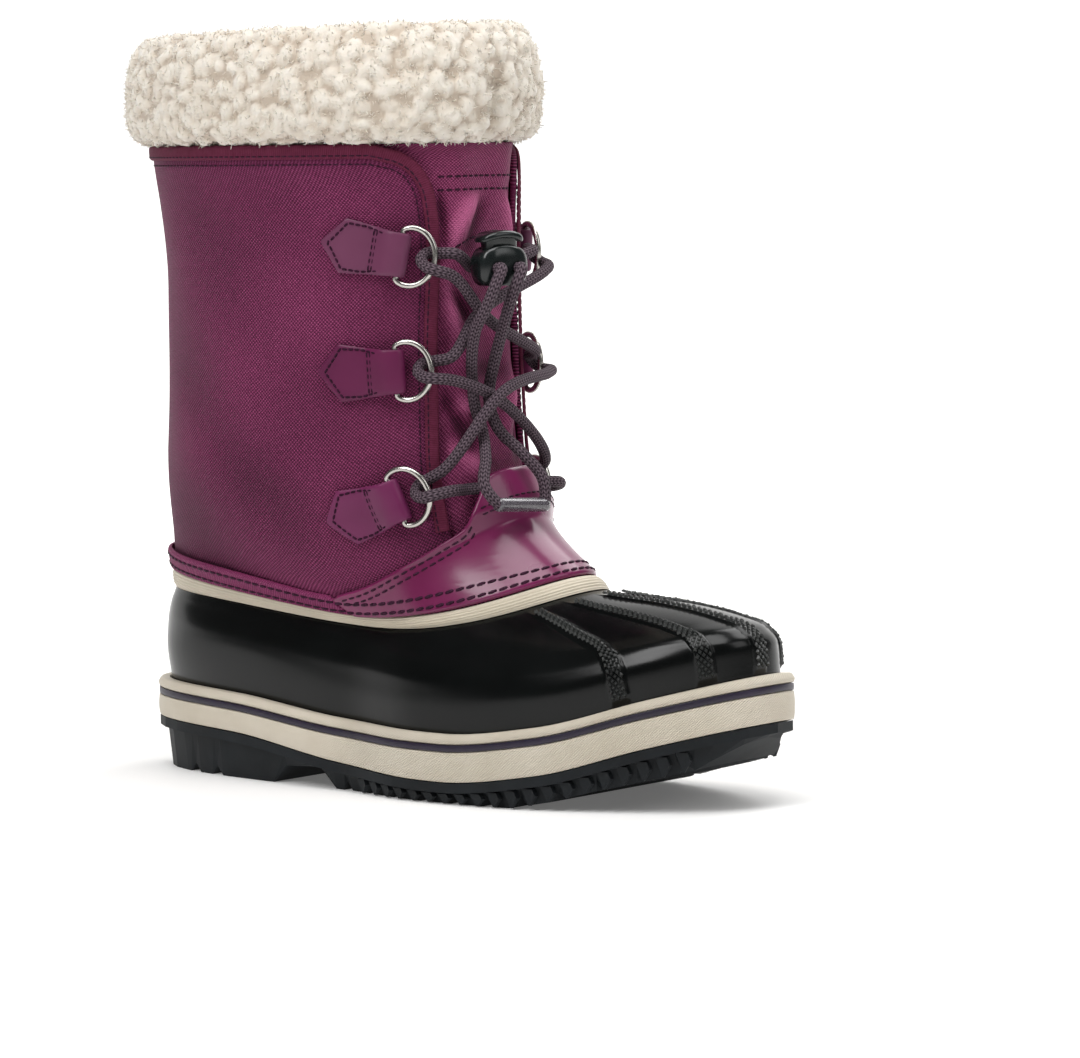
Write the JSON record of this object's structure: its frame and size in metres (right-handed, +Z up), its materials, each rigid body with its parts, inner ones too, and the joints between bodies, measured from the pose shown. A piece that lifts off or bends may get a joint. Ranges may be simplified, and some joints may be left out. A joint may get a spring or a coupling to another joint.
{
  "type": "snow boot",
  "caption": "Right-foot winter pac boot with a rubber foot, woven leg, fleece collar, felt inner boot and an elastic lace held by a spring cord lock",
  "frame": {"origin": "on the floor under the middle of the heel tread, at the middle of the flat heel face", "axes": "+X towards the toe, +Y to the medial side, +Z up out of the sole"},
  "size_m": [0.2618, 0.1197, 0.2584],
  "materials": {
    "outsole_rubber": "matte moulded rubber",
    "cream_rubber": "smooth cream rubber",
    "stripe_rubber": "satin dark purple line",
    "shell_rubber": "gloss black rubber",
    "nylon": "woven coated nylon",
    "binding_tape": "woven tape",
    "leather": "smooth gloss leather",
    "wire": "bright nickel plated wire",
    "lace_braid": "round braid",
    "lock_plastic": "satin black plastic",
    "clear_tube": "clear shrunk tube",
    "felt": "pressed felt",
    "fleece": "curly pile"
  },
  "bodies": {
    "boot": {"backstay": "nylon", "binding": "binding_tape", "cord_lock": "lock_plastic", "cuff": "fleece", "d_ring_lateral_low": "wire", "d_ring_lateral_mid": "wire", "d_ring_lateral_top": "wire", "d_ring_medial_low": "wire", "d_ring_medial_mid": "wire", "d_ring_medial_top": "wire", "foxing": "cream_rubber", "foxing_stripe": "stripe_rubber", "hem_strip": "nylon", "lace_bar_lateral": "lace_braid", "lace_bar_low": "lace_braid", "lace_bar_medial": "lace_braid", "lace_cross_low": "lace_braid", "lace_cross_mid": "lace_braid", "lace_loop_lateral": "lace_braid", "lace_loop_medial": "lace_braid", "lace_tab_lateral_low": "leather", "lace_tab_lateral_mid": "leather", "lace_tab_lateral_top": "leather", "lace_tab_medial_low": "leather", "lace_tab_medial_mid": "leather", "lace_tab_medial_top": "leather", "liner": "felt", "loop_tube": "clear_tube", "outsole": "outsole_rubber", "rubber_shell": "shell_rubber", "shaft": "nylon", "shell_rand": "cream_rubber", "tongue": "nylon", "vamp": "leather"},
    "button": {"lock_button": "lock_plastic"}
  },
  "joints": [
    {"name": "lock_press", "type": "slide", "parent": "boot", "child": "button", "axis": [0, 0, -1], "range_m": [0, 0.0022], "stiffness_N_per_m": 1200, "springref_m": -0.002}
  ]
}
